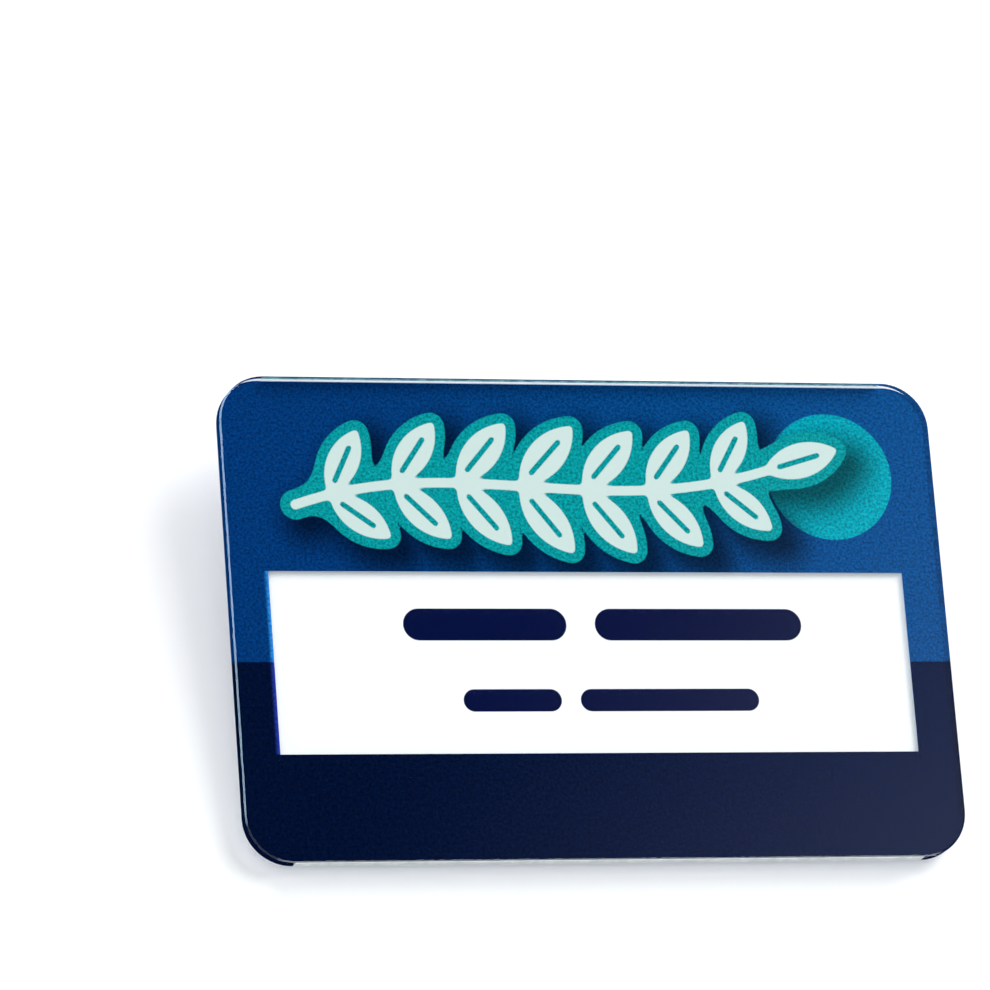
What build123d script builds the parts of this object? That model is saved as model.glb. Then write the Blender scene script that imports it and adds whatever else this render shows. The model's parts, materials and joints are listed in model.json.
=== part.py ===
from build123d import *
import os
from math import asin, atan2, cos, degrees, hypot, radians, sin, tan

# A reusable name badge: a clear panel over a printed face, a card in a pocket behind its window,
# a white moulded shell, and a pin bar with a sprung wire pin. Millimetres throughout.
#
# Every piece is first built as the badge lies face down: +X is right and +Y is up as one looks
# at its back, +Z comes out of the back, and Z = 0 is the back plane of the clear panel.
# The badge is then turned over and tilted into the pose in which it rests on a table by itself.

# Clear panel
PANEL_WIDTH = 75.0
PANEL_HEIGHT = 50.0
PANEL_THICKNESS = 1.7
PANEL_CORNER = 4.8
PANEL_FRONT_BEVEL = 0.17
PANEL_BACK_BEVEL = 0.24

# Printed layer behind the panel, and its window
BOND_GAP = 0.03
PRINT_THICKNESS = 0.15
WINDOW_WIDTH = 66.7
WINDOW_HEIGHT = 18.8
WINDOW_CENTRE = (-0.12, -4.4)
WINDOW_CORNER = 0.3

# Shell
SHELL_OVERHANG = 0.3
SHELL_BACK = 2.2
SHELL_CORNER = 4.5
RIM_WIDTH = 1.7
RIM_DROP = 0.9
RIM_INNER_ROUND = 2.0
RIM_OUTER_ROUND = 0.35

# Pocket in the shell's front, open at the notch's side
POCKET_DEPTH = 0.72
POCKET_TOP = 11.8
POCKET_BOTTOM = -16.8
POCKET_END = 34.1

# Thumb notch, a half round cut into the side of the shell
NOTCH_RADIUS = 7.3
NOTCH_MOUTH_ROUND = 0.7
NOTCH_RIM_ROUND = 0.6

# Name card, and how far behind the print it slides
CARD_THICKNESS = 0.3
CARD_GAP = 0.35
CARD_CLEARANCE = 0.2
CARD_LAP = 0.4
CARD_CORNER = 0.5

# Low L-shaped ridges on the shell's back: outer corner and the way in from it
RIDGE_WIDTH = 0.8
RIDGE_RISE = 0.35
RIDGE_ROUND = 0.3
RIDGE_LONG = 11.0
RIDGE_SHORT = 4.1
RIDGE_CORNERS = (
    (-20.1, 19.2, 1, -1),
    (20.1, 19.2, -1, -1),
    (-24.1, -19.5, 1, 1),
    (24.1, -19.5, -1, 1),
)

# Pin bar base
BAR_LEFT = -17.7
BAR_RIGHT = 19.5
BAR_BOTTOM = 4.7
BAR_TOP = 13.2
BAR_RISE = 2.2
BAR_DRAFT_ANGLE = 5.0
BAR_EDGE_ROUND = 0.3

# The two blocks on the base, as the spans of their feet and of their top faces
BLOCK_RISE = 2.5
BLOCK_EDGE_ROUND = 0.35
BLOCK_UPPER_FOOT = 12.9
HOOD_FOOT = dict(left=-17.4, right=-10.5, bottom=6.1, top=BLOCK_UPPER_FOOT)
HOOD_TOP = dict(left=-16.7, right=-11.1, bottom=6.9, top=11.4)
COIL_BLOCK_FOOT = dict(left=12.4, right=19.2, bottom=6.15, top=BLOCK_UPPER_FOOT)
COIL_BLOCK_TOP = dict(left=13.1, right=19.0, bottom=6.9, top=11.3)

# Hollow under the hood: a channel, and the mouth under the lower lip
HOOD_WALL_LEFT = -16.2
HOOD_CHANNEL_TOP = 10.3
HOOD_LIP_INNER = 7.5
HOOD_CHANNEL_RISE = 1.85
HOOD_MOUTH_RISE = 1.4

# Small slot through the base
BASE_SLOT = dict(left=-3.4, right=1.7, bottom=8.4, top=10.5)
BASE_SLOT_CORNER = 0.5

# Wire pin
WIRE_DIAMETER = 0.7
COIL_RADIUS = 1.35
COIL_PITCH = 0.75
COIL_TURNS = 1.5
COIL_X = 15.4
COIL_HEIGHT = 4.5
NEEDLE_Y = 8.65
NEEDLE_TIP_X = -15.4
NEEDLE_TIP_HEIGHT = 5.15
POINT_LENGTH = 2.5
POINT_RADIUS = 0.04
TAIL_LENGTH = 1.6

# Swing of the pin out of the hood, and room that it needs
SWING_DEGREES = 15.0
SWING_CLEARANCE = 0.12

# Chamber round the coil, its roof, and the slot and flare cut through the roof
CHAMBER_FLOOR = 2.6
CHAMBER_ROOF = 0.6
CHAMBER_LAP = 0.5
ROOF_SLOT = dict(left=13.2, right=17.5, bottom=8.3, top=9.75)
FLARE_RUN = 1.4
FLARE_SPREAD = 0.95
FLARE_LAP = 0.2

# How far a cutting shape runs past what it cuts, and how near two heights count as one
CUT_PAST = 1.0
NEAR = 1e-4


def span(left, right, bottom, top):
    """A rectangle given by its four sides."""
    centre = ((left + right) / 2, (bottom + top) / 2)
    return Pos(*centre) * Rectangle(right - left, top - bottom)


def slab(sketch, low, high):
    """A sketch carried straight up from one height to another."""
    return Pos(0, 0, low) * extrude(sketch, high - low)


def flat_edges(solid, height):
    """The edges that lie flat at one height."""

    def lies_flat(edge):
        box = edge.bounding_box()
        return abs(box.min.Z - height) < NEAR and abs(box.max.Z - height) < NEAR

    return solid.edges().filter_by(lies_flat)


def edges_above(solid, height):
    """The edges that stand or lie above one height, which leaves out the outline at that height."""
    return solid.edges().filter_by(lambda edge: edge.center().Z > height + NEAR)


def polygon(*corners):
    """A face with straight sides through the given corners."""
    return make_face(Polyline(*corners, close=True))


PRINT_LOW = BOND_GAP
PRINT_HIGH = PRINT_LOW + PRINT_THICKNESS
SHELL_HALF_WIDTH = PANEL_WIDTH / 2 - SHELL_OVERHANG
SHELL_HALF_HEIGHT = PANEL_HEIGHT / 2 - SHELL_OVERHANG
BAR_BACK = SHELL_BACK + BAR_RISE
BLOCK_BACK = BAR_BACK + BLOCK_RISE


def front_panel():
    """The clear plate, with a narrow bevel round its front rim and another round its back rim."""
    plate = slab(RectangleRounded(PANEL_WIDTH, PANEL_HEIGHT, PANEL_CORNER), -PANEL_THICKNESS, 0)
    plate = chamfer(flat_edges(plate, -PANEL_THICKNESS), PANEL_FRONT_BEVEL)
    return chamfer(flat_edges(plate, 0), PANEL_BACK_BEVEL)


def printed_face():
    """The thin printed layer, open at the window, as large as the plate's flat back."""
    inset = PANEL_BACK_BEVEL
    sheet = RectangleRounded(PANEL_WIDTH - 2 * inset, PANEL_HEIGHT - 2 * inset, PANEL_CORNER - inset)
    window = Pos(*WINDOW_CENTRE) * RectangleRounded(WINDOW_WIDTH, WINDOW_HEIGHT, WINDOW_CORNER)
    return slab(sheet - window, PRINT_LOW, PRINT_HIGH)


def card_sides():
    """The card fills the pocket's height, and laps the window at the notch's side."""
    return dict(
        left=WINDOW_CENTRE[0] - WINDOW_WIDTH / 2 - CARD_LAP,
        right=POCKET_END - CARD_CLEARANCE,
        bottom=POCKET_BOTTOM + CARD_CLEARANCE,
        top=POCKET_TOP - CARD_CLEARANCE,
    )


def name_insert():
    """The white card, which slides near the pocket's floor, a little way behind the print."""
    low = PRINT_HIGH + CARD_GAP
    card = slab(span(**card_sides()), low, low + CARD_THICKNESS)
    return fillet(card.edges().filter_by(Axis.Z), CARD_CORNER)


def ridge(x, y, toward_x, toward_y):
    """One low L: a long arm along X and a short arm along Y from an outer corner."""
    inset = RIDGE_WIDTH / 2
    corner_x = x + toward_x * inset
    corner_y = y + toward_y * inset
    long_arm = Pos(corner_x + toward_x * RIDGE_LONG / 2 - toward_x * inset, corner_y) * SlotOverall(
        RIDGE_LONG, RIDGE_WIDTH
    )
    short_arm = Pos(corner_x, corner_y + toward_y * RIDGE_SHORT / 2 - toward_y * inset) * SlotOverall(
        RIDGE_SHORT, RIDGE_WIDTH, rotation=90
    )
    arms = slab(long_arm + short_arm, SHELL_BACK, SHELL_BACK + RIDGE_RISE)
    return fillet(flat_edges(arms, SHELL_BACK + RIDGE_RISE), RIDGE_ROUND)


def notch_rim():
    """A ring with a hollow quarter round, which takes the sharp edge off the notch's back rim."""
    inner = NOTCH_RADIUS - CUT_PAST
    outer = NOTCH_RADIUS + NOTCH_RIM_ROUND
    low = SHELL_BACK - NOTCH_RIM_ROUND
    high = SHELL_BACK + CUT_PAST
    sides = Polyline((outer, SHELL_BACK), (outer, high), (inner, high), (inner, low), (NOTCH_RADIUS, low))
    round_edge = RadiusArc((NOTCH_RADIUS, low), (outer, SHELL_BACK), NOTCH_RIM_ROUND)
    profile = make_face(sides + round_edge)
    return Pos(-SHELL_HALF_WIDTH, 0) * revolve(Plane.XZ * profile, Axis.Z)


def back_shell():
    """The moulded back: a plate with a sloped rim, the card's pocket and the thumb notch."""
    outline = RectangleRounded(2 * SHELL_HALF_WIDTH, 2 * SHELL_HALF_HEIGHT, SHELL_CORNER)
    shell = slab(outline, PRINT_HIGH, SHELL_BACK)
    back_face = shell.faces().sort_by(Axis.Z)[-1]
    shell = chamfer(back_face.edges(), RIM_WIDTH, RIM_DROP, reference=back_face)
    shell = fillet(flat_edges(shell, SHELL_BACK), RIM_INNER_ROUND)
    shell = fillet(flat_edges(shell, SHELL_BACK - RIM_DROP), RIM_OUTER_ROUND)
    notch = slab(Pos(-SHELL_HALF_WIDTH, 0) * Circle(NOTCH_RADIUS), 0, SHELL_BACK + CUT_PAST)
    shell = shell - notch
    mouth = shell.edges().filter_by(Axis.Z).group_by(Axis.X)[0]
    shell = fillet(mouth, NOTCH_MOUTH_ROUND)
    shell = shell - notch_rim()
    pocket = span(-SHELL_HALF_WIDTH - CUT_PAST, POCKET_END, POCKET_BOTTOM, POCKET_TOP)
    shell = shell - slab(pocket, 0, PRINT_HIGH + POCKET_DEPTH)
    for corner in RIDGE_CORNERS:
        shell = shell + ridge(*corner)
    return shell


def block(foot, top):
    """A tapered block on the base, its sides sloping in from foot to top."""
    low = Pos(0, 0, BAR_BACK) * span(**foot)
    high = Pos(0, 0, BLOCK_BACK) * span(**top)
    solid = loft([low, high], ruled=True)
    return fillet(edges_above(solid, BAR_BACK), BLOCK_EDGE_ROUND)


def hood_hollow():
    """The space under the hood: high over the needle, lower under the lip that keeps it in."""
    right = HOOD_FOOT["right"] + CUT_PAST
    channel = span(HOOD_WALL_LEFT, right, HOOD_LIP_INNER, HOOD_CHANNEL_TOP)
    mouth = span(HOOD_WALL_LEFT, right, HOOD_FOOT["bottom"] - CUT_PAST, HOOD_CHANNEL_TOP)
    high = slab(channel, BAR_BACK, BAR_BACK + HOOD_CHANNEL_RISE)
    return high + slab(mouth, BAR_BACK, BAR_BACK + HOOD_MOUTH_RISE)


def coil_middle_y():
    """The middle of the coil along its own axis."""
    return NEEDLE_Y + COIL_TURNS * COIL_PITCH / 2


def chamber():
    """The room in which the coil turns, the mouth that the needle swings in, and the roof's slot."""
    swing = radians(SWING_DEGREES)
    wire = WIRE_DIAMETER / 2
    half_length = COIL_RADIUS + wire
    half_width = COIL_TURNS * COIL_PITCH / 2 + wire
    reach_x = half_length * cos(swing) + half_width * sin(swing) + SWING_CLEARANCE
    reach_y = half_length * sin(swing) + half_width * cos(swing) + SWING_CLEARANCE
    middle_y = coil_middle_y()
    roof_low = BLOCK_BACK - CHAMBER_ROOF
    room = span(COIL_X - reach_x, COIL_X + reach_x, middle_y - reach_y, middle_y + reach_y)

    def swept_y(x):
        """The lowest Y that the needle reaches at one X when it is swung out."""
        return middle_y - half_width / cos(swing) - (COIL_X - x) * tan(swing) - SWING_CLEARANCE

    outside = COIL_BLOCK_FOOT["left"] - CHAMBER_LAP
    inside = COIL_X - reach_x + CHAMBER_LAP
    slot_low, slot_high = ROOF_SLOT["bottom"], ROOF_SLOT["top"]
    mouth = polygon(
        (inside, swept_y(inside)),
        (outside, swept_y(outside)),
        (outside, slot_high),
        (inside, slot_high),
    )
    flare_end = ROOF_SLOT["left"] + FLARE_LAP
    flare = polygon(
        (flare_end, slot_low),
        (flare_end - FLARE_RUN, slot_low - FLARE_SPREAD),
        (flare_end - FLARE_RUN, slot_high + FLARE_SPREAD),
        (flare_end, slot_high),
    )
    needle_low = NEEDLE_TIP_HEIGHT - wire
    return (
        slab(room, CHAMBER_FLOOR, roof_low)
        + slab(mouth, needle_low, roof_low)
        + slab(span(**ROOF_SLOT), needle_low, BLOCK_BACK + CUT_PAST)
        + slab(flare, needle_low, BLOCK_BACK + CUT_PAST)
    )


def pin_bar():
    """The moulded bar: base, hood and coil block in one piece."""
    base = Pos(0, 0, SHELL_BACK) * extrude(
        span(BAR_LEFT, BAR_RIGHT, BAR_BOTTOM, BAR_TOP), BAR_RISE, taper=BAR_DRAFT_ANGLE
    )
    base = fillet(edges_above(base, SHELL_BACK), BAR_EDGE_ROUND)
    bar = base + block(HOOD_FOOT, HOOD_TOP) + block(COIL_BLOCK_FOOT, COIL_BLOCK_TOP)
    base_slot = slab(span(**BASE_SLOT), 0, BAR_BACK + CUT_PAST)
    base_slot = fillet(base_slot.edges().filter_by(Axis.Z), BASE_SLOT_CORNER)
    return bar - hood_hollow() - chamber() - base_slot


def pin_wire():
    """The steel wire: point, needle, coil and a short tail, all of one diameter."""
    wire = WIRE_DIAMETER / 2
    from_end = (Align.CENTER, Align.CENTER, Align.MIN)
    start = Vector(COIL_X, NEEDLE_Y, COIL_HEIGHT + COIL_RADIUS)
    tip = Vector(NEEDLE_TIP_X, NEEDLE_Y, NEEDLE_TIP_HEIGHT)
    along = (tip - start).normalized()
    shoulder = tip - along * POINT_LENGTH
    needle = Plane(origin=start, z_dir=along) * Cylinder(wire, (shoulder - start).length, align=from_end)
    point = Plane(origin=shoulder, z_dir=along) * Cone(wire, POINT_RADIUS, POINT_LENGTH, align=from_end)
    knee = Pos(*start) * Sphere(wire)
    helix = Helix(COIL_PITCH, COIL_PITCH * COIL_TURNS, COIL_RADIUS)
    helix = Location((COIL_X, NEEDLE_Y, COIL_HEIGHT)) * Rot(X=-90) * Rot(Z=-90) * helix
    coil = sweep(Plane(origin=helix @ 0, z_dir=helix % 0) * Circle(wire), path=helix)
    tail = Plane(origin=helix @ 1, z_dir=helix % 1) * Cylinder(wire, TAIL_LENGTH, align=from_end)
    return needle + point + knee + coil + tail


def rest_tilt():
    """The angle at which the badge lies: on the blocks' lower edges and on the shell's lower rim.

    Both edges are round, so the table is the common tangent of two circles seen from the side.
    """
    block_y = HOOD_TOP["bottom"] + BLOCK_EDGE_ROUND
    block_z = BLOCK_BACK - BLOCK_EDGE_ROUND
    rim_turn = atan2(RIM_DROP, RIM_WIDTH)
    rim_y = -SHELL_HALF_HEIGHT + RIM_WIDTH + RIM_INNER_ROUND * tan(rim_turn / 2)
    rim_z = SHELL_BACK - RIM_INNER_ROUND
    rise = block_z - rim_z
    run = block_y - rim_y
    return atan2(rise, run) - asin((RIM_INNER_ROUND - BLOCK_EDGE_ROUND) / hypot(rise, run))


def main():
    pieces = {
        "front_panel": front_panel(),
        "printed_face": printed_face(),
        "name_insert": name_insert(),
        "back_shell": back_shell(),
        "pin_bar": pin_bar(),
        "pin_wire": pin_wire(),
    }
    tilt = degrees(rest_tilt())
    laid = {name: Rot(X=tilt) * Rot(Y=180) * piece for name, piece in pieces.items()}
    box = Compound(children=[Compound(p.wrapped) for p in laid.values()]).bounding_box()
    settle = Pos(-box.center().X, -box.center().Y, -box.min.Z)
    print("rest tilt", round(tilt, 3), "degrees, box", box.size)
    os.makedirs("parts", exist_ok=True)
    for name, piece in laid.items():
        export_step(settle * piece, f"parts/{name}.step")
        print(name, "volume", round(piece.volume, 2))


main()
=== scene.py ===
# %% [markdown]
# A name badge that lies face up on a pale table: a clear plate with two bevelled rims over a printed
# layer, a white card behind the print's window, a white moulded shell and a pin bar underneath.
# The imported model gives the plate, the card, the shell, the bar and the pin as they are. This
# lesson gives them their finish, and makes the print and the marks on the card as new meshes.

# %% Load the model
import json
import bmesh
import bpy
import numpy as np
from mathutils import Matrix, Vector


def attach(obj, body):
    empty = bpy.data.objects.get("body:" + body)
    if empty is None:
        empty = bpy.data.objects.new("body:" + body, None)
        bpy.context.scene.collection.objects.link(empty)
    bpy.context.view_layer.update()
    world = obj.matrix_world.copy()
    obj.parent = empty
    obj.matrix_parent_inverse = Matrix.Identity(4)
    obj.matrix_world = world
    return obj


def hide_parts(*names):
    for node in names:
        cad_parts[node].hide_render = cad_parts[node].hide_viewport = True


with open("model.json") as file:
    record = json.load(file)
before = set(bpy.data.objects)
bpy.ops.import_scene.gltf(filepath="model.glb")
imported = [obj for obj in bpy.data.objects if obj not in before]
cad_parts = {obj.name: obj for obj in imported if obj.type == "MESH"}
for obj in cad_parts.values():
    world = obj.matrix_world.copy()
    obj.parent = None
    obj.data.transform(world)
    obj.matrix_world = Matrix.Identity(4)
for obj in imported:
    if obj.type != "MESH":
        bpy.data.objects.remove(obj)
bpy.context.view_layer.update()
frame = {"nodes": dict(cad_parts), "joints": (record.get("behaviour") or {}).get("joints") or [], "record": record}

# %% [markdown]
# The badge rests on its pin bar and on one long edge, so its face leans a little. All of its
# patterns are easier to write in the badge's own directions: across to the right, up the face,
# and out of the face. The pin turns about a line square to the badge, so that joint's axis gives
# the lean, and the clear plate's corners give the middle of its back plane.

# %% The badge's own directions
MM = 0.001
joint = {j["name"]: j for j in frame["joints"]}
ACROSS = np.array([1.0, 0.0, 0.0])
OUT = -np.array(joint["pin_swing"]["axis"], float)
OUT /= np.linalg.norm(OUT)
UPWARD = np.cross(OUT, ACROSS)


def points_of(node):
    """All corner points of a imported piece, one row for each."""
    mesh = frame["nodes"][node].data
    flat = np.zeros(3 * len(mesh.vertices), np.float32)
    mesh.vertices.foreach_get("co", flat)
    return flat.reshape(-1, 3).astype(float)


def span_along(node, direction):
    """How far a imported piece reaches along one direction, as its lowest and highest value."""
    reach = points_of(node) @ direction
    return reach.min(), reach.max()


def middle(low_high):
    return sum(low_high) / 2


PANEL_ACROSS = span_along("front_panel", ACROSS)
PANEL_UP = span_along("front_panel", UPWARD)
PANEL_OUT = span_along("front_panel", OUT)
ORIGIN = ACROSS * middle(PANEL_ACROSS) + UPWARD * middle(PANEL_UP) + OUT * PANEL_OUT[0]


def place(across, up, out):
    """Points in metres from badge distances in millimetres: origin + across, up and out steps."""
    across, up, out = np.broadcast_arrays(across, up, out)
    steps = across[..., None] * ACROSS + up[..., None] * UPWARD + out[..., None] * OUT
    return ORIGIN + MM * steps


def height_of(node):
    """The lowest and highest place of a piece along the way out of the face, in millimetres."""
    low, high = span_along(node, OUT)
    return (low - ORIGIN @ OUT) / MM, (high - ORIGIN @ OUT) / MM


WIDTH = (PANEL_ACROSS[1] - PANEL_ACROSS[0]) / MM
HEIGHT = (PANEL_UP[1] - PANEL_UP[0]) / MM
FACE = height_of("front_panel")[1]
print("badge", round(WIDTH, 2), "by", round(HEIGHT, 2), "mm, its face", round(FACE, 2), "mm out")

# %% [markdown]
# The camera stands to the lower left of the badge, well above the table, with a long lens, so
# the far edges come together only a little. Its place and the point that it looks at are given
# in the badge's own directions, as a photographer would set it up on the badge.

# %% Camera
CAMERA_PLACE = (-186.70, -162.93, 584.36 + FACE)
CAMERA_AIM = (-9.51, 12.71, FACE)
CAMERA_TOP = (0.0768, 1.0, 0.0)
LENS = 229.93


def direction(across, up, out):
    """A way given in the badge's own directions, as one vector."""
    return Vector(across * ACROSS + up * UPWARD + out * OUT)


camera_data = bpy.data.cameras.new("camera")
camera_data.lens = LENS
camera_data.sensor_width = 36.0
camera_data.clip_start = 0.01
camera = bpy.data.objects.new("camera", camera_data)
bpy.context.scene.collection.objects.link(camera)
eye = Vector(place(*CAMERA_PLACE))
ahead = (Vector(place(*CAMERA_AIM)) - eye).normalized()
right = ahead.cross(direction(*CAMERA_TOP)).normalized()
turn = Matrix((right, right.cross(ahead), -ahead)).transposed()
camera.matrix_world = Matrix.Translation(eye) @ turn.to_4x4()
bpy.context.scene.camera = camera
bpy.context.scene.view_settings.view_transform = "Standard"
print("camera at", [round(v, 3) for v in eye], "lens", LENS)

# %% [markdown]
# The table is a plain pale sheet. It is a grid whose far parts run well past the view, and it is
# marked as stage, so it is no part of the badge. A photographer would stand dark cards beside a
# clear plate so that its polished sides read as dark lines. Keeping the table out of mirrored
# views does the same with less.

# %% Table
TABLE_HALF = 1.6
TABLE_LINES = 9


def grid_faces(rows, columns, first=0):
    """The four-cornered faces of a grid of points, row by row, each turned the same way."""
    corner = first + np.arange(rows - 1)[:, None] * columns + np.arange(columns - 1)
    corner = corner.ravel()
    return np.stack([corner, corner + 1, corner + columns + 1, corner + columns], axis=1)


def make_mesh(name, points, faces):
    """A mesh object from an array of points and an array of faces."""
    mesh = bpy.data.meshes.new(name)
    mesh.from_pydata(np.asarray(points).reshape(-1, 3).tolist(), [], faces.tolist())
    mesh.validate()
    thing = bpy.data.objects.new(name, mesh)
    bpy.context.scene.collection.objects.link(thing)
    print(name, len(mesh.vertices), "points and", len(mesh.polygons), "faces")
    return thing


line = np.linspace(-TABLE_HALF, TABLE_HALF, TABLE_LINES)
table_x, table_y = np.meshgrid(line, line)
table_points = np.stack([table_x, table_y, 0 * table_x], -1)
table = make_mesh("table", table_points, grid_faces(TABLE_LINES, TABLE_LINES))
table.visible_glossy = False

# %% [markdown]
# Every finish below is a small tree of nodes. These helpers keep each tree short: one makes a
# material and hands back its main shader, one adds a node and sets its values, and one does sums.
# Colours are written as they look on screen, from 0 to 255, and turned into the linear values
# that Blender works with.

# %% Helpers for materials


def linear(red, green, blue):
    """Screen colour 0 to 255 as linear light: the usual curve, a straight foot and a 2.4 power."""
    share = np.array([red, green, blue]) / 255.0
    light = np.where(share <= 0.04045, share / 12.92, ((share + 0.055) / 1.055) ** 2.4)
    return (*light.tolist(), 1.0)


class Finish:
    """One material and the few things that its tree is built with."""

    def __init__(self, name):
        self.material = bpy.data.materials.new(name)
        self.material.use_nodes = True
        self.tree = self.material.node_tree
        self.shader = self.tree.nodes["Principled BSDF"]

    def add(self, kind, values=None, **settings):
        """Adds a node, sets its own settings, then its input values by name or number."""
        node = self.tree.nodes.new(kind)
        for key, value in settings.items():
            setattr(node, key, value)
        for key, value in (values or {}).items():
            self.put(node.inputs[key], value)
        return node

    def put(self, socket, value):
        """Gives a socket a plain value, or links it to another node's output."""
        if isinstance(value, bpy.types.NodeSocket):
            self.tree.links.new(value, socket)
        else:
            socket.default_value = value

    def sum(self, operation, first, second=0.0, third=0.0, clamp=False):
        """One math node, and its result."""
        node = self.add("ShaderNodeMath", {0: first, 1: second, 2: third}, operation=operation)
        node.use_clamp = clamp
        return node.outputs[0]

    def ramp(self, value, start, end, low=0.0, high=1.0):
        """Maps start to end onto low to high, smoothly at both ends, and flat beyond them."""
        node = self.add("ShaderNodeMapRange", {0: value, 1: start, 2: end, 3: low, 4: high})
        node.interpolation_type = "SMOOTHSTEP"
        return node.outputs[0]

    def mix(self, share, first, second, blend="MIX"):
        """One colour mix node, and its result."""
        node = self.add("ShaderNodeMix", data_type="RGBA", blend_type=blend)
        for number, value in ((0, share), (6, first), (7, second)):
            self.put(node.inputs[number], value)
        return node.outputs[2]

    def on_badge(self):
        """The place on the badge in millimetres, across, up and out: the object place, turned."""
        if not hasattr(self, "badge_place"):
            here = self.add("ShaderNodeTexCoord").outputs["Object"]
            turned = self.add("ShaderNodeMapping", {"Vector": here}, vector_type="TEXTURE")
            turned.inputs["Location"].default_value = ORIGIN
            turned.inputs["Rotation"].default_value = (np.arctan2(UPWARD[2], UPWARD[1]), 0, 0)
            turned.inputs["Scale"].default_value = (MM, MM, MM)
            self.badge_place = turned.outputs[0]
            self.axes = self.add("ShaderNodeSeparateXYZ", {0: self.badge_place}).outputs
        return self.badge_place

    def noise(self, scale, detail=2.0, stretch=(1.0, 1.0, 1.0), roughness=0.5):
        """Soft noise on the badge, with about scale spots in a millimetre."""
        shaped = self.add("ShaderNodeMapping", {"Vector": self.on_badge()})
        shaped.inputs["Scale"].default_value = stretch
        spots = self.add("ShaderNodeTexNoise", {"Vector": shaped.outputs[0]})
        spots.inputs["Scale"].default_value = scale
        spots.inputs["Detail"].default_value = detail
        spots.inputs["Roughness"].default_value = roughness
        return spots.outputs[0]

    def bump(self, height, strength, distance):
        """Raises the surface's light and shade by a height value, over a distance in metres."""
        node = self.add("ShaderNodeBump", {"Height": height})
        node.inputs["Strength"].default_value = strength
        node.inputs["Distance"].default_value = distance
        self.put(self.shader.inputs["Normal"], node.outputs[0])

    def set(self, **values):
        """Sets inputs of the main shader, with underscores for the spaces in their names."""
        for key, value in values.items():
            self.put(self.shader.inputs[key.replace("_", " ")], value)
        return self.material


def wear(thing, *materials):
    """Puts materials in an object's slots."""
    thing.data.materials.clear()
    for material in materials:
        thing.data.materials.append(material)
    print(thing.name, "wears", [material.name for material in materials])


# %% [markdown]
# Table finish: matt pale board, with the faintest cloudiness so that it isn't a flat colour.

# %% Table finish
board = Finish("pale_board")
board_tone = board.mix(board.noise(0.02), linear(246, 246, 247), linear(250, 250, 250))
wear(table, board.set(Base_Color=board_tone, Roughness=0.9, Specular_IOR_Level=0.1))

# %% [markdown]
# The print is ink on the back of the clear plate, in a rounded oblong with an oblong window. It
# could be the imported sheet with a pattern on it, but its design has soft shadows and outlines of
# one even width, which are easiest to work out as distances on a fine grid. So a new sheet takes
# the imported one's place: a grid of rows and columns whose rows get shorter where the corners
# turn, with the cells of the window left out.

# %% Lines of the print's grid
PANEL_CORNER = 4.8
SHEET_HALF_WIDTH = span_along("printed_face", ACROSS)[1] / MM
SHEET_HALF_HEIGHT = (span_along("printed_face", UPWARD)[1] - ORIGIN @ UPWARD) / MM
SHEET_CORNER = PANEL_CORNER - (WIDTH / 2 - SHEET_HALF_WIDTH)
CORNER_ROWS = 20
FINE_STEP = 0.25
COARSE_STEP = 0.9
OUTER_MARGIN = 0.1


def window_sides():
    """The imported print's window, from its points that lie well inside the outer edge."""
    points = (points_of("printed_face") - ORIGIN) / MM
    across, up = points @ ACROSS, points @ UPWARD
    inside_across = abs(across) < SHEET_HALF_WIDTH - OUTER_MARGIN
    inside_up = abs(up) < SHEET_HALF_HEIGHT - SHEET_CORNER - OUTER_MARGIN
    inner = inside_across & inside_up
    return across[inner].min(), across[inner].max(), up[inner].min(), up[inner].max()


def lines(stops, steps):
    """Grid lines that hit every stop, with about one step between them in each stretch."""
    pieces = [
        np.linspace(a, b, max(1, round((b - a) / step)) + 1)[:-1]
        for a, b, step in zip(stops, stops[1:], steps)
    ]
    return np.concatenate([*pieces, stops[-1:]])


WINDOW_LEFT, WINDOW_RIGHT, WINDOW_LOW, WINDOW_TOP = window_sides()
columns = lines([-SHEET_HALF_WIDTH, WINDOW_LEFT, WINDOW_RIGHT, SHEET_HALF_WIDTH], [FINE_STEP] * 3)
turn_start = SHEET_HALF_HEIGHT - SHEET_CORNER
corner_angles = np.linspace(0, np.pi / 2, CORNER_ROWS + 1)[1:]
corner_rows = turn_start + SHEET_CORNER * np.sin(corner_angles)
straight_rows = lines(
    [-turn_start, WINDOW_LOW, WINDOW_TOP, turn_start], [COARSE_STEP, COARSE_STEP, FINE_STEP]
)
rows = np.concatenate([-corner_rows[::-1], straight_rows, corner_rows])
print("window", [round(float(v), 2) for v in window_sides()], "grid", len(rows), len(columns))

# %% [markdown]
# The design over the window is a plain sprig: a stem in a gentle double bend, pairs of pointed
# leaves along it, and a round spot behind its tip. Each shape is a formula for the distance from
# a point to the shape's edge, below zero inside. The least of two such distances joins two
# shapes, and a band of distances just outside them is an outline of even width.

# %% Sizes of the sprig
STEM = np.array([(-30.0, 11.9), (-13.0, 17.8), (1.0, 10.2), (19.5, 15.7)])
STEM_HALF = 0.5
LEAF_HALF_LENGTH = 4.0
LEAF_HALF_WIDTH = 1.55
LEAF_ROUND = 0.35
LEAF_LEAN = np.radians(50)
LEAF_SPOTS = np.linspace(0.07, 0.90, 7)
LEAF_SIZE, LEAF_SHRINK = 0.98, 0.35
TIP_LEAF_SIZE = 0.95
VEIN_HALF = 0.28
VEIN_START, VEIN_END = 0.25, 0.82
OUTLINE = 1.05
OUTLINE_BLEND = 2.2
SPOT_CENTRE = (26.6, 15.2)
SPOT_RADIUS = 6.7


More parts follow.
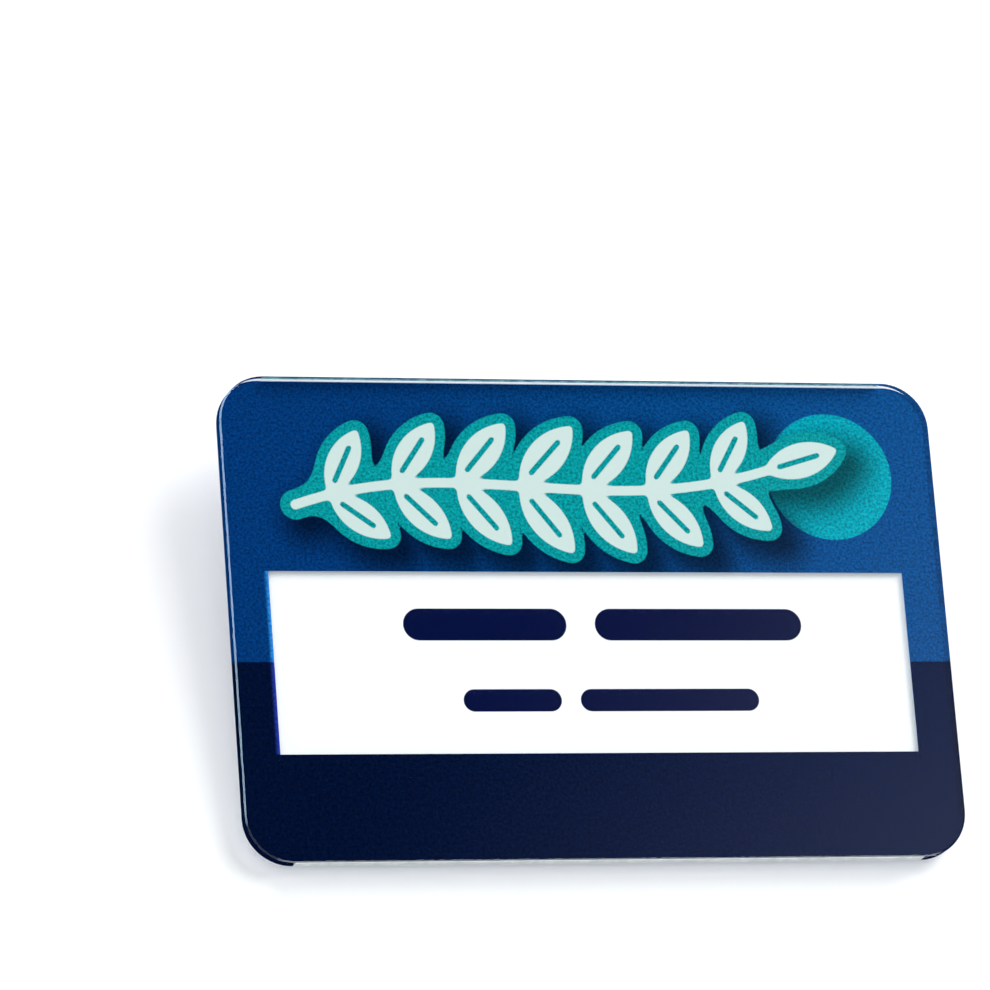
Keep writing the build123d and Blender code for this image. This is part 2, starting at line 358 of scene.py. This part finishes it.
def stem_point(t):
    """A point of the stem: four control points weighted by the cubic Bezier formula."""
    t = np.asarray(t, float)[..., None]
    weights = (1 - t) ** 3, 3 * t * (1 - t) ** 2, 3 * t**2 * (1 - t), t**3
    return sum(weight * point for weight, point in zip(weights, STEM))


def stem_way(t, step=1e-3):
    """The stem's direction, as an angle, from two points a small step apart."""
    ahead = stem_point(t + step) - stem_point(t - step)
    return np.arctan2(ahead[1], ahead[0])


print("stem from", stem_point(0).round(2), "to", stem_point(1).round(2), "with", len(LEAF_SPOTS), "pairs")

# %% [markdown]
# A leaf is the overlap of two equal circles, which gives it two points and even curves. The
# distance to a line or a leaf is worked out for all points of the grid at once. Where leaves and
# stem meet, a plain least would leave a hard corner, so a blended one rounds it off.

# %% Distances to lines and leaves


def to_line(spots, start, end):
    """Distance from each spot to the stretch from start to end."""
    run = end - start
    share = np.clip(((spots - start) @ run) / (run @ run), 0, 1)
    return np.linalg.norm(spots - start - share[..., None] * run, axis=-1)


def to_leaf(spots, base, angle, size):
    """Distance to a leaf, the overlap of two equal circles, drawn from its base at an angle.

    Across the leaf the nearer circle's edge counts, and past its two tips the tip itself.
    """
    half, wide = size * LEAF_HALF_LENGTH, size * LEAF_HALF_WIDTH
    way = np.array([np.cos(angle), np.sin(angle)])
    local = spots - base - way * half
    along = abs(local @ way)
    aside = abs(local @ np.array([-way[1], way[0]]))
    radius = (half**2 + wide**2) / (2 * wide)
    set_back = radius - wide
    by_tip = (along - half) * set_back > aside * half
    to_tip = np.hypot(along - half, aside)
    to_side = np.hypot(along, aside + set_back) - radius
    return np.where(by_tip, to_tip, to_side) - LEAF_ROUND


def soft_least(first, second, blend=0.5):
    """The lesser of two distances, with a smooth turn where they cross."""
    share = np.clip(0.5 + 0.5 * (second - first) / blend, 0, 1)
    return second + (first - second) * share - blend * share * (1 - share)


print("a leaf's middle is inside:", to_leaf(np.array([[4.0, 0.0]]), np.zeros(2), 0.0, 1.0).round(2))

# %% [markdown]
# The whole sprig is then the least of all its leaves and its stem, with the veins cut out. Its
# outline follows a softer blend of the same shapes, so that it flows round them as cut vinyl does.

# %% The whole sprig


def sprig(spots):
    """Distances from spots to the sprig's inked shapes, and to the softer shape of its outline.

    Leaves stand in pairs, the largest near the middle of the stem, with one more at its end.
    """
    knots = stem_point(np.linspace(0, 1, 40))
    stem = np.min([to_line(spots, a, b) for a, b in zip(knots, knots[1:])], axis=0) - STEM_HALF
    leaves, veins = [], []
    pairs = [
        (t, side * LEAF_LEAN, LEAF_SIZE - LEAF_SHRINK * abs(t - 0.5))
        for t in LEAF_SPOTS
        for side in (-1, 1)
    ]
    for t, lean, size in [*pairs, (1.0, 0.0, TIP_LEAF_SIZE)]:
        base, angle = stem_point(t), stem_way(t) + lean
        way = np.array([np.cos(angle), np.sin(angle)])
        leaves.append(to_leaf(spots, base + way * STEM_HALF, angle, size))
        reach = 2 * size * LEAF_HALF_LENGTH
        start, end = base + way * VEIN_START * reach, base + way * VEIN_END * reach
        veins.append(to_line(spots, start, end) - VEIN_HALF)
    leaf = np.min(leaves, axis=0)
    drawn = soft_least(leaf, stem)
    around = soft_least(leaf, stem, OUTLINE_BLEND)
    return np.maximum(drawn, -np.min(veins, axis=0)), around


print("the stem's start is inside:", sprig(STEM[:1])[0].round(2))

# %% [markdown]
# Now the sheet itself. Every row is drawn in by the corner's curve, so the grid's edge follows
# the rounded oblong. The distances go into the mesh as named attributes, one number for each
# point, and the soft shadow is a faded copy of the sprig, moved down and to the right. The sheet
# gets its thickness from a Solidify modifier, with a second material on its back and edges. Ink
# grips the plate with no air between, so the sheet's face lies a hair inside it: rays in the clear
# plate then end on the ink, as they do in the real one, and the plate's sides look dark.

# %% The printed sheet
INK_BOND = 0.004
SHADOW_STEP = (1.3, -1.5)
SHADOW_FADE = (-1.2, 3.4)


def smooth_step(value, start, end):
    """Rises from 0 to 1 between start and end, level at both ends."""
    share = np.clip((value - start) / (end - start), 0, 1)
    return share * share * (3 - 2 * share)


def row_reach(up):
    """Half the sheet's width at one height: full, and less by the corner's arc near the ends."""
    past = np.clip((abs(up) - turn_start) / SHEET_CORNER, 0, 1)
    return SHEET_HALF_WIDTH - SHEET_CORNER + SHEET_CORNER * np.sqrt(1 - past**2)


def write_attribute(thing, name, values):
    """Stores one number for each point of a mesh, for materials to read by name."""
    layer = thing.data.attributes.new(name, "FLOAT", "POINT")
    layer.data.foreach_set("value", np.ascontiguousarray(values, np.float32).ravel())


def add_solidify(thing, thickness, material_step=0):
    """Gives a sheet its thickness, behind its face."""
    wall = thing.modifiers.new("thickness", "SOLIDIFY")
    wall.thickness = thickness
    wall.offset = -1
    wall.material_offset = material_step
    wall.material_offset_rim = material_step


up_grid, across_grid = np.meshgrid(rows, columns, indexing="ij")
across_grid = across_grid * row_reach(up_grid) / SHEET_HALF_WIDTH
PRINT_BACK = height_of("printed_face")[0]
faces = grid_faces(len(rows), len(columns))
cell_up = ((rows[:-1] + rows[1:]) / 2)[:, None]
cell_across = ((columns[:-1] + columns[1:]) / 2)[None, :]
in_window = (
    (cell_across > WINDOW_LEFT) & (cell_across < WINDOW_RIGHT)
    & (cell_up > WINDOW_LOW) & (cell_up < WINDOW_TOP)
)
sheet_points = place(across_grid, up_grid, INK_BOND)
printed_sheet = make_mesh("printed_sheet", sheet_points, faces[~in_window.ravel()])
spots = np.stack([across_grid, up_grid], -1)
inked, whole = sprig(spots)
write_attribute(printed_sheet, "leaf_edge", inked)
write_attribute(printed_sheet, "sprig_edge", whole)
shaded = sprig(spots - np.array(SHADOW_STEP))[1] - OUTLINE
write_attribute(printed_sheet, "leaf_shadow", 1 - smooth_step(shaded, *SHADOW_FADE))
from_spot = np.linalg.norm(spots - np.array(SPOT_CENTRE), axis=-1) - SPOT_RADIUS
write_attribute(printed_sheet, "spot_edge", from_spot)
add_solidify(printed_sheet, MM * (INK_BOND - PRINT_BACK), material_step=1)
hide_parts("printed_face")
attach(printed_sheet, "badge")

# %% [markdown]
# The print's front finish: blue above, navy below, and a shade lighter to the right, which is
# painted light for the key lamp's stronger light on that side. The attributes pick the sprig's
# pale leaves, their sea-green outline, the round spot and the soft shadow. Fine speckle, some of
# it paler dust, is what such a print shows up close. Along the window's left side the ink runs a
# little past its white backing, so light from the card brightens it there; that brightness is
# painted into the ink's colour.

# %% Print colours
SPLIT = -4.36
# The right-hand colours hold painted light: they are lighter for the key lamp's stronger light there.
BLUE_LEFT, BLUE_RIGHT = linear(2, 50, 107), linear(7, 71, 130)
NAVY_LEFT, NAVY_RIGHT = linear(1, 13, 43), linear(6, 22, 58)
BLUE_LIT, NAVY_LIT = linear(41, 132, 214), linear(36, 56, 157)
SPOT_COLOUR, OUTLINE_COLOUR = linear(3, 149, 166), linear(7, 139, 144)
LEAF_COLOUR = linear(197, 216, 212)
SHADOW_TINT = linear(110, 128, 128)
LIT_STRIP = 0.55
EDGE_SOFT = 0.06
DUST_LEVEL = 0.004
print("blue as light", [round(v, 3) for v in BLUE_LEFT], "to", [round(v, 3) for v in BLUE_RIGHT])

# %% [markdown]
# One tree of nodes then lays the colours down as a printer would: the two fields first, then the
# spot, the shadow, the outline and last the leaves. Each edge is a short ramp, so it stays crisp
# without steps. An image would need a picture file, and would blur where the camera comes close.

# %% The print's face


def print_front():
    """The printed face: fields, spot, shadow, outline, speckle and leaves, laid in that order."""
    ink = Finish("print_front")
    ink.on_badge()
    across, up = ink.axes[0], ink.axes[1]

    def attribute(name):
        return ink.add("ShaderNodeAttribute", attribute_name=name).outputs["Fac"]

    def within(value, limit):
        return ink.ramp(value, limit - EDGE_SOFT, limit + EDGE_SOFT, 1.0, 0.0)

    # Painted light: both fields lighten towards the right, for the key lamp's stronger light there.
    painted_light_rightward = ink.ramp(across, -WIDTH / 2, WIDTH / 2)
    blue = ink.mix(painted_light_rightward, BLUE_LEFT, BLUE_RIGHT)
    navy = ink.mix(painted_light_rightward, NAVY_LEFT, NAVY_RIGHT)
    # Painted light: beside the window's left side the fields take their lit colours, for the card's light through
    # the ink.
    strip = ink.ramp(across, WINDOW_LEFT - LIT_STRIP, WINDOW_LEFT)
    beside = ink.sum("MULTIPLY", strip, ink.sum("LESS_THAN", across, WINDOW_LEFT + 0.05))
    for edge, sign in ((WINDOW_TOP, "LESS_THAN"), (WINDOW_LOW, "GREATER_THAN")):
        beside = ink.sum("MULTIPLY", beside, ink.sum(sign, up, edge))
    blue = ink.mix(beside, blue, BLUE_LIT)
    navy = ink.mix(beside, navy, NAVY_LIT)
    field = ink.mix(within(up, SPLIT), blue, navy)
    field = ink.mix(within(attribute("spot_edge"), 0.0), field, SPOT_COLOUR)
    dimmed = ink.mix(1.0, field, SHADOW_TINT, blend="MULTIPLY")
    field = ink.mix(attribute("leaf_shadow"), field, dimmed)
    field = ink.mix(within(attribute("sprig_edge"), OUTLINE), field, OUTLINE_COLOUR)
    grain = ink.ramp(ink.noise(3.6, detail=3.0, roughness=0.7), 0.3, 0.7, 0.55, 1.5)
    weave = ink.ramp(ink.noise(3.0, stretch=(1.0, 12.0, 1.0)), 0.35, 0.65, 0.94, 1.06)
    speckle = ink.sum("MULTIPLY", grain, weave)
    grained = ink.mix(1.0, field, speckle, blend="MULTIPLY")
    dust = ink.ramp(ink.noise(2.6, detail=4.0, roughness=0.8), 0.45, 0.75, 0.0, DUST_LEVEL)
    grained = ink.mix(1.0, grained, dust, blend="ADD")
    colour = ink.mix(within(attribute("leaf_edge"), 0.0), grained, LEAF_COLOUR)
    return ink.set(Base_Color=colour, Roughness=0.6, Specular_IOR_Level=0.0)


PRINT_FRONT = print_front()
print(PRINT_FRONT.name, "has", len(PRINT_FRONT.node_tree.nodes), "nodes")

# %% [markdown]
# Through the thumb notch one sees the back of the print. White backing over blue ink reads as a
# pale, cloudy blue there, with two thin lines along the edge where the layers end.

# %% The print's back
BACK_LINES = ((1.56, 0.09), (2.57, 0.06))


def print_back():
    """Pale blue ink backing, with two thin lines that run along the badge's short ends."""
    ink = Finish("print_back")
    ink.on_badge()
    across, up = ink.axes[0], ink.axes[1]
    inset = ink.sum("SUBTRACT", WIDTH / 2, ink.sum("ABSOLUTE", across))

    def line_at(distance, half):
        off = ink.sum("ABSOLUTE", ink.sum("SUBTRACT", inset, distance))
        return ink.ramp(off, half - 0.04, half + 0.04, 1.0, 0.0)

    tone = ink.mix(ink.ramp(inset, 1.4, 3.0), linear(161, 183, 212), linear(182, 199, 223))
    cloudy = ink.mix(ink.noise(0.5), tone, linear(176, 195, 220))
    dark = ink.mix(ink.ramp(up, SPLIT - 0.1, SPLIT + 0.1), linear(52, 62, 92), linear(85, 111, 144))
    lined = ink.mix(line_at(*BACK_LINES[0]), cloudy, dark)
    lined = ink.mix(line_at(*BACK_LINES[1]), lined, linear(140, 163, 196))
    return ink.set(Base_Color=lined, Roughness=0.45, Specular_IOR_Level=0.4)


wear(printed_sheet, PRINT_FRONT, print_back())

# %% [markdown]
# The card holds two lines of marks where words would stand: plain bars with round ends, long
# ones above and smaller ones below. They could be painted by a pattern, but as thin flat meshes
# their edges stay sharp at any distance. Each bar is a surface of two parameters: how far out
# from its middle line, and which way round, so that its outline is a run with two half circles.

# %% Marks on the card
MARKS = (
    dict(left=-19.6, right=-2.6, middle=-0.35, height=3.3),
    dict(left=0.4, right=22.3, middle=-0.35, height=3.3),
    dict(left=-13.9, right=-3.7, middle=-8.2, height=2.3),
    dict(left=-1.7, right=17.1, middle=-8.2, height=2.3),
)
INK_THICKNESS = 0.02
INK_LIFT = 0.001
MARK_RINGS = 4
MARK_TURNS = 64


def mark_points(left, right, middle, height, out):
    """A bar with round ends: a circle of half its height, whose halves are drawn apart."""
    out_share = np.linspace(0, 1, MARK_RINGS)[:, None]
    turn = (np.arange(MARK_TURNS) + 0.5) * 2 * np.pi / MARK_TURNS
    radius = height / 2
    drawn_apart = np.sign(np.cos(turn)) * ((right - left) / 2 - radius)
    across = (left + right) / 2 + drawn_apart + out_share * radius * np.cos(turn)
    up = middle + out_share * radius * np.sin(turn)
    return place(across, up, out)


def ring_faces(rings, turns, first):
    """Four-cornered faces between closed rings of points, ring by ring."""
    ring, step = np.meshgrid(np.arange(rings - 1), np.arange(turns), indexing="ij")
    after = (step + 1) % turns
    here, outward = ring * turns, (ring + 1) * turns
    corners = here + step, outward + step, outward + after, here + after
    return first + np.stack([c.ravel() for c in corners], axis=1)


card_front = height_of("name_insert")[1]
mark_front = card_front + INK_THICKNESS + INK_LIFT
mark_grids = np.stack([mark_points(out=mark_front, **mark) for mark in MARKS])
mark_starts = np.arange(len(MARKS)) * MARK_RINGS * MARK_TURNS
mark_faces = np.concatenate([ring_faces(MARK_RINGS, MARK_TURNS, first) for first in mark_starts])
card_marks = make_mesh("card_marks", mark_grids, mark_faces)


def merge_points(thing, distance):
    """Joins points that lie on one spot, as a ring drawn down to a line does."""
    work = bmesh.new()
    work.from_mesh(thing.data)
    bmesh.ops.remove_doubles(work, verts=work.verts, dist=distance)
    work.to_mesh(thing.data)
    work.free()


merge_points(card_marks, 1e-7)
add_solidify(card_marks, MM * INK_THICKNESS)
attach(card_marks, "card")

mark_ink = Finish("mark_ink")
mark_tone = mark_ink.mix(mark_ink.noise(5.0, detail=3.0), linear(0, 8, 48), linear(3, 14, 60))
wear(card_marks, mark_ink.set(Base_Color=mark_tone, Roughness=0.6, Specular_IOR_Level=0.05))

# %% [markdown]
# The clear plate is cast acrylic with polished faces: it bends and mirrors light, and its sides
# and bevels gather it. In Blender that is a Principled shader with full transmission.
# Lamps would light what lies under such a plate only by chance, so rays that look for a lamp,
# and rays that have already bounced off something matt, go straight through.

# %% Clear plate
plate = Finish("clear_plate")
plate.set(Base_Color=linear(253, 254, 254), Roughness=0.02, IOR=1.49, Transmission_Weight=1.0)
plate.bump(plate.noise(0.25, detail=1.0), 0.02, 0.0001)
rays = plate.add("ShaderNodeLightPath").outputs
passing = plate.sum("MAXIMUM", rays["Is Shadow Ray"], rays["Is Diffuse Ray"])
clear = plate.add("ShaderNodeBsdfTransparent", {"Color": linear(253, 254, 254)})
sides = {0: passing, 1: plate.shader.outputs[0], 2: clear.outputs[0]}
either = plate.add("ShaderNodeMixShader", sides)
plate.put(plate.tree.nodes["Material Output"].inputs["Surface"], either.outputs[0])
wear(frame["nodes"]["front_panel"], plate.material)

# %% [markdown]
# The plate's two long sides keep the matt look of the saw, while its ends and corners are
# polished. From outside such a side is a pale band, and seen from within, through the face, it
# glows where light comes in from behind. Roughening the glass there would blur the whole plate,
# so each side gets a thin skin of its own, just inside the plate: a surface of two parameters,
# along the side and up its height, with a thickness. Light passes into the skin and spreads. The
# near side is pale, and the far one is given a darker sea-green: painted shade and tint for that
# side as it looks when seen through the face.

# %% Sawn long sides
SKIN_THICKNESS = 0.05
SKIN_INSET = 0.004
SKIN_COLUMNS = 81
SKIN_ROWS = 5


def wall_span():
    """From where to where the plate's sides stand upright, between their two bevels."""
    points = (points_of("front_panel") - ORIGIN) / MM
    on_side = abs(points @ UPWARD) > HEIGHT / 2 - SKIN_INSET
    rise = (points @ OUT)[on_side]
    return rise.min(), rise.max()


def side_points(side):
    """One long side as a grid: steps along it, against the rise between the two bevels."""
    reach = WIDTH / 2 - PANEL_CORNER
    low, high = wall_span()
    along = np.linspace(-side * reach, side * reach, SKIN_COLUMNS)
    rise = np.linspace(low + SKIN_INSET, high - SKIN_INSET, SKIN_ROWS)
    return place(along[None, :], -side * (HEIGHT / 2 - SKIN_INSET), rise[:, None])


side_faces = [grid_faces(SKIN_ROWS, SKIN_COLUMNS, first) for first in (0, SKIN_ROWS * SKIN_COLUMNS)]
sawn_sides = make_mesh("sawn_sides", [side_points(1), side_points(-1)], np.concatenate(side_faces))
add_solidify(sawn_sides, MM * SKIN_THICKNESS)
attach(sawn_sides, "badge")

sawn = Finish("sawn_side")
streaks = sawn.ramp(sawn.noise(1.1, detail=4.0, stretch=(1.0, 0.3, 0.3), roughness=0.65), 0.35, 0.65)
near_tone = sawn.mix(streaks, linear(204, 222, 222), linear(240, 248, 247))
# Painted shade: the far side is a darker sea-green copy of the same sawn edge.
far_side_painted_shade = sawn.mix(streaks, linear(58, 112, 124), linear(112, 164, 168))
sawn_tone_and_painted_shade = sawn.mix(sawn.ramp(sawn.axes[1], -1.0, 1.0), near_tone, far_side_painted_shade)
sawn.set(Base_Color=sawn_tone_and_painted_shade, Roughness=0.6, Specular_IOR_Level=0.2)
sawn.set(Subsurface_Weight=1.0, Subsurface_Radius=(1.0, 1.0, 1.0), Subsurface_Scale=0.0004)
wear(sawn_sides, sawn.material)

# %% [markdown]
# At the badge's two short ends a dark sheet in the print's colours lies on the plate's back bevel,
# so no light shows there: painted shade, for the dark that the ends show. The bevels of the long
# sides stay clear and draw a bright line. The sheet itself could be bent up there, but its
# thickness would then stand out past the plate. So each end gets a narrow strip of ink colour: a
# surface of two parameters, round the end and up the bevel, which gets narrower where the end
# turns into a long side.

# %% Painted shade: dark ink colour on the end bevels
END_TURNS = 24
END_STEPS = 4
END_THICKNESS = 0.01
END_TAPER, END_LEAST = 1.6, 0.02
FAR_OFF = 9


def end_points(side):
    """One end's strip: two corner arcs whose radius grows as much as the strip rises."""
    arc = np.linspace(0, np.pi / 2, END_TURNS)
    turn = side * np.concatenate([-arc[::-1], arc])[:, None]
    centre_up = side * np.repeat([-1, 1], END_TURNS)[:, None] * (HEIGHT / 2 - PANEL_CORNER)
    bevel = WIDTH / 2 - SHEET_HALF_WIDTH
    reach = bevel * np.clip(END_TAPER * np.cos(turn), END_LEAST, 1)
    rise = reach * np.linspace(0, 1, END_STEPS)
    radius = SHEET_CORNER + rise - INK_BOND
    across = side * (WIDTH / 2 - PANEL_CORNER + radius * np.cos(turn))
    return place(across, centre_up + radius * np.sin(turn), rise + INK_BOND)


end_size = 2 * END_TURNS * END_STEPS
end_faces = [grid_faces(2 * END_TURNS, END_STEPS, first) for first in (0, end_size)]
# Painted shade: a dark strip in the print's colours, put on the end bevels so that they look dark.
end_bevel_shade = make_mesh("end_bevel_shade", [end_points(1), end_points(-1)], np.concatenate(end_faces))
add_solidify(end_bevel_shade, MM * END_THICKNESS)
for name in ("leaf_edge", "sprig_edge", "spot_edge"):
    write_attribute(end_bevel_shade, name, np.full(2 * end_size, FAR_OFF))
write_attribute(end_bevel_shade, "leaf_shadow", np.zeros(2 * end_size))
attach(end_bevel_shade, "badge")
wear(end_bevel_shade, PRINT_FRONT)

# %% [markdown]
# The card is smooth white board. Close up it has the cloudiness and faint tooth of pressed
# fibres.

# %% Card
card = Finish("card_board")
fibres = card.noise(6.0, detail=4.0, stretch=(1.0, 2.2, 1.0))
card_tone = card.mix(fibres, linear(250, 250, 251), linear(254, 254, 254))
card.bump(fibres, 0.15, 0.00005)
card.set(Base_Color=card_tone, Roughness=0.75, Specular_IOR_Level=0.2)
wear(frame["nodes"]["name_insert"], card.material)

# %% [markdown]
# The shell and the pin bar are moulded in one cool white plastic. The mould gives a fine matt
# grain, and a thick moulding of this kind lets a little light into itself, which softens its
# shades. One function makes both finishes, with a little less grain on the bar.

# %% White mouldings
SHELL_TONES = linear(238, 240, 250), linear(232, 236, 248)
BAR_TONES = linear(244, 244, 252), linear(236, 238, 248)


def moulding(name, tones, grain):
    """White plastic: two close tones in broad clouds, with fine grain in gloss and relief."""
    finish = Finish(name)
    fine = finish.noise(7.0, detail=3.0, roughness=0.6)
    broad = finish.noise(0.12, detail=2.0)
    tone = finish.mix(broad, *tones)
    rough = finish.ramp(fine, 0.3, 0.7, 0.38, 0.52)
    finish.bump(fine, grain, 0.00006)
    return finish.set(
        Base_Color=tone, Roughness=rough, Specular_IOR_Level=0.45, Subsurface_Weight=0.25,
        Subsurface_Radius=(1.0, 1.0, 1.0), Subsurface_Scale=0.0006,
    )


wear(frame["nodes"]["back_shell"], moulding("shell_moulding", SHELL_TONES, 0.35))
wear(frame["nodes"]["pin_bar"], moulding("bar_moulding", BAR_TONES, 0.2))

# %% [markdown]
# The pin is hard drawn steel wire: bright, with fine lines along its length.

# %% Pin wire
steel = Finish("drawn_steel")
drawn = steel.noise(9.0, detail=3.0, stretch=(0.08, 1.0, 1.0))
steel_tone = steel.mix(drawn, linear(176, 174, 170), linear(206, 205, 203))
steel.bump(drawn, 0.25, 0.00002)
steel.set(Base_Color=steel_tone, Metallic=1.0)
steel.set(Roughness=steel.ramp(drawn, 0.3, 0.7, 0.18, 0.34))
wear(frame["nodes"]["pin_wire"], steel.material)
for piece in frame["record"]["subparts"]:
    print(piece["node"], "is in slot", piece["material_slot"])

# %% [markdown]
# The light is soft and plain: a wide lamp high on the right and behind, which gives the window its
# short shadow, a wide fill from above, and a pale room. A polished face shows whatever lies where
# it mirrors, so the two lamps are kept out of mirrored views.

# %% Lamps
KEY_PLACE, KEY_SIZE, KEY_POWER = (0.42, 0.40, 0.62), 0.65, 6.0
FILL_PLACE, FILL_SIZE, FILL_POWER = (-0.30, -0.15, 0.95), 1.2, 5.0


def soft_lamp(name, where, size, power):
    """A round area lamp that faces the badge, unseen by mirrored rays."""
    data = bpy.data.lights.new(name, "AREA")
    data.shape = "DISK"
    data.size = size
    data.energy = power
    lamp = bpy.data.objects.new(name, data)
    bpy.context.scene.collection.objects.link(lamp)
    lamp.location = where
    lamp.rotation_euler = (-Vector(where)).to_track_quat("-Z", "Y").to_euler()
    lamp.visible_glossy = False
    lamp.visible_transmission = False
    print(name, "at", where, "with", power, "watts")
    return lamp


soft_lamp("key_lamp", KEY_PLACE, KEY_SIZE, KEY_POWER)
soft_lamp("fill_lamp", FILL_PLACE, FILL_SIZE, FILL_POWER)

# %% [markdown]
# The room is a background whose brightness depends on the direction alone. It is dark where the
# face would mirror it into the camera. Three pale cards stand round the badge, which only mirrored
# rays see. Those low on the left and in front draw the light lines along the bevels, and the one
# on the right lies as a faint sheen on the face. Real cards could stand there, but they would also
# shade the table.

# %% The room and its cards
ROOM_LEVEL, ROOM_COLOUR = 0.7, (0.93, 0.97, 1.0, 1.0)
ROOM_DARK_WAY = direction(0.27, 0.28, 0.92).normalized()
# Each card: its way, where it starts and is full as a dot product with it, its level and colour.
CARDS = (
    (direction(-0.75, 0.62, 0.15).normalized(), 0.70, 0.93, 9.0, linear(200, 232, 255)),
    (direction(0.30, -0.92, 0.24).normalized(), 0.80, 0.98, 4.0, linear(247, 252, 255)),
    (direction(0.75, -0.30, 0.59).normalized(), 0.675, 0.975, 5.3, linear(247, 252, 255)),
)


world = bpy.data.worlds.new("room")
world.use_nodes = True
bpy.context.scene.world = world
room = world.node_tree


def room_part(way, start, end, low, high):
    """Brightness by how near the looking direction is to one way: the dot product, ramped."""
    looking = room.nodes.new("ShaderNodeTexCoord").outputs["Generated"]
    near = room.nodes.new("ShaderNodeVectorMath")
    near.operation = "DOT_PRODUCT"
    room.links.new(looking, near.inputs[0])
    near.inputs[1].default_value = way
    shade = room.nodes.new("ShaderNodeMapRange")
    shade.interpolation_type = "SMOOTHSTEP"
    room.links.new(near.outputs["Value"], shade.inputs[0])
    for number, value in enumerate((start, end, low, high), start=1):
        shade.inputs[number].default_value = value
    return shade.outputs[0]


def room_sum(operation, first, second):
    """One math node of the room's tree, and its result."""
    node = room.nodes.new("ShaderNodeMath")
    node.operation = operation
    for socket, value in zip(node.inputs, (first, second)):
        room.links.new(value, socket)
    return node.outputs[0]


def glow(colour, strength):
    """A background of one colour, whose strength other nodes work out."""
    node = room.nodes.new("ShaderNodeBackground")
    node.inputs["Color"].default_value = colour
    room.links.new(strength, node.inputs["Strength"])
    return node.outputs[0]


above = room_part(Vector((0, 0, 1)), -0.06, 0.02, 0.0, 1.0)
glossy = room.nodes.new("ShaderNodeLightPath").outputs["Is Glossy Ray"]
mirrored = room_sum("MULTIPLY", above, glossy)
away = room_part(ROOM_DARK_WAY, 0.55, 0.92, ROOM_LEVEL, 0.0)
lit = glow(ROOM_COLOUR, room_sum("MULTIPLY", away, above))
for way, start, end, level, colour in CARDS:
    seen = room_sum("MULTIPLY", room_part(way, start, end, 0.0, level), mirrored)
    both = room.nodes.new("ShaderNodeAddShader")
    room.links.new(lit, both.inputs[0])
    room.links.new(glow(colour, seen), both.inputs[1])
    lit = both.outputs[0]
room.links.new(lit, room.nodes["World Output"].inputs["Surface"])
print("room with", len(CARDS), "cards and", len(room.nodes), "nodes")
